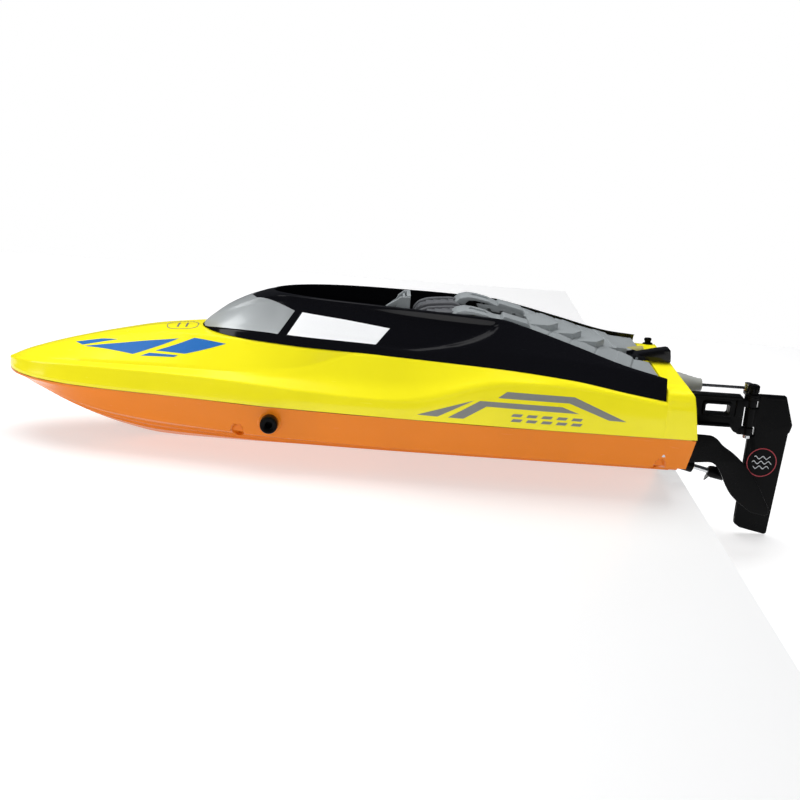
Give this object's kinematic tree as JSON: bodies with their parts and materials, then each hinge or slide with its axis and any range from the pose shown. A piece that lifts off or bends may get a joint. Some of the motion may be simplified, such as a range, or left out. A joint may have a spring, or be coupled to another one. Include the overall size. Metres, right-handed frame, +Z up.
{
  "type": "rc boat",
  "caption": "Radio-controlled racing boat: split planing hull, lift-off canopy with open cockpit, inner hatch, water-cooled motor, inclined shaft and propeller, servo-steered rudder.",
  "frame": {"origin": "centre of the bounding box's base, level with the rudder's lowest point", "axes": "+X to the bow, +Y to port, +Z up"},
  "size_m": [0.437, 0.108, 0.1267],
  "materials": {
    "hull_orange": "glossy moulded orange",
    "deck_yellow": "glossy moulded yellow",
    "canopy_black": "glossy black",
    "screen_silver": "silver printed windscreen",
    "window_white": "mirror-bright side window",
    "engine_silver": "satin silver plastic",
    "seat_grey": "dark grey plastic",
    "fitting_black": "satin black nylon",
    "boot_rubber": "translucent grey rubber",
    "rubber_black": "black rubber",
    "hose_blue": "silicone hose",
    "steel": "bright steel",
    "brass": "turned brass",
    "aluminium": "satin anodised",
    "battery_wrap": "heat-shrink wrap",
    "strap_fabric": "hook-and-loop strap",
    "board_green": "circuit board",
    "foam": "foamed plastic float",
    "lid_clear": "moulded hatch lid"
  },
  "bodies": {
    "hull": {"hull_shell": "hull_orange", "deck_shell": "deck_yellow", "seam_gasket": "rubber_black", "hull_screws": "steel", "cooling_outlet": "fitting_black", "outlet_nut": "fitting_black", "water_pickup": "brass", "transom_bracket": "fitting_black", "bracket_screws": "steel", "pushrod_boot": "boot_rubber", "servo_case": "fitting_black", "servo_mount": "hull_orange", "servo_screws": "steel", "turn_fin": "fitting_black", "stern_tube": "brass", "shaft_bushes": "brass", "tube_boss": "fitting_black", "motor_can": "steel", "motor_endcap": "fitting_black", "cooling_jacket": "aluminium", "motor_mount": "aluminium", "motor_screws": "steel", "battery_pack": "battery_wrap", "battery_strap": "strap_fabric", "battery_plug": "window_white", "battery_lead": "rubber_black", "control_case": "fitting_black", "control_cover": "fitting_black", "control_board": "board_green", "foam_float": "foam", "water_feed_hose": "hose_blue", "water_drain_hose": "hose_blue", "stern_button": "fitting_black"},
    "canopy": {"canopy_shell": "canopy_black", "windscreen": "screen_silver", "side_window_port": "window_white", "side_window_starboard": "window_white", "cockpit_tub": "canopy_black", "seat_port": "seat_grey", "seat_starboard": "seat_grey", "seat_frame": "engine_silver", "engine_deck": "engine_silver", "intake_cowls": "engine_silver", "latch_ears": "canopy_black", "latch_pin": "steel"},
    "latch": {"latch_lever": "canopy_black"},
    "hatch_lid": {"inner_lid": "lid_clear", "lid_seal": "rubber_black"},
    "driveline": {"propeller": "fitting_black", "prop_nut": "brass", "drive_shaft": "steel", "shaft_coupling": "aluminium", "motor_rotor": "steel"},
    "rudder": {"rudder_blade": "fitting_black", "rudder_arm": "fitting_black", "rudder_pin": "steel", "pivot_cap": "fitting_black"},
    "servo_horn": {"servo_horn": "fitting_black"},
    "pushrod": {"pushrod": "steel", "linkage_stopper": "steel"}
  },
  "joints": [
    {"name": "canopy_lift", "type": "slide", "parent": "hull", "child": "canopy", "axis": [0, 0, 1], "range_m": [0, 0.09]},
    {"name": "latch_hinge", "type": "hinge", "parent": "canopy", "child": "latch", "pos_m": [-0.1249, 0, 0.1006], "axis": [0, 1, 0], "range_deg": [0, 60]},
    {"name": "lid_lift", "type": "slide", "parent": "hull", "child": "hatch_lid", "axis": [0, 0, 1], "range_m": [0, 0.045]},
    {"name": "shaft_spin", "type": "hinge", "parent": "hull", "child": "driveline", "pos_m": [-0.1799, 0, 0.0352], "axis": [0.9744, 0, 0.225], "continuous": true},
    {"name": "rudder_hinge", "type": "hinge", "parent": "hull", "child": "rudder", "pos_m": [-0.1938, 0, 0.0712], "axis": [0, 0, 1], "range_deg": [-35, 35]},
    {"name": "horn_turn", "type": "hinge", "parent": "hull", "child": "servo_horn", "pos_m": [-0.1204, 0, 0.0812], "axis": [0, 0, 1], "range_deg": [-35, 35]},
    {"name": "rod_pivot", "type": "hinge", "parent": "servo_horn", "child": "pushrod", "pos_m": [-0.1204, -0.011, 0.0835], "axis": [0, 0, 1], "range_deg": [-35, 35]}
  ],
  "couplings": [
    {"joint": "lid_lift", "follows": "canopy_lift", "ratio": 0.5},
    {"joint": "horn_turn", "follows": "rudder_hinge", "ratio": 1},
    {"joint": "rod_pivot", "follows": "rudder_hinge", "ratio": -1}
  ]
}
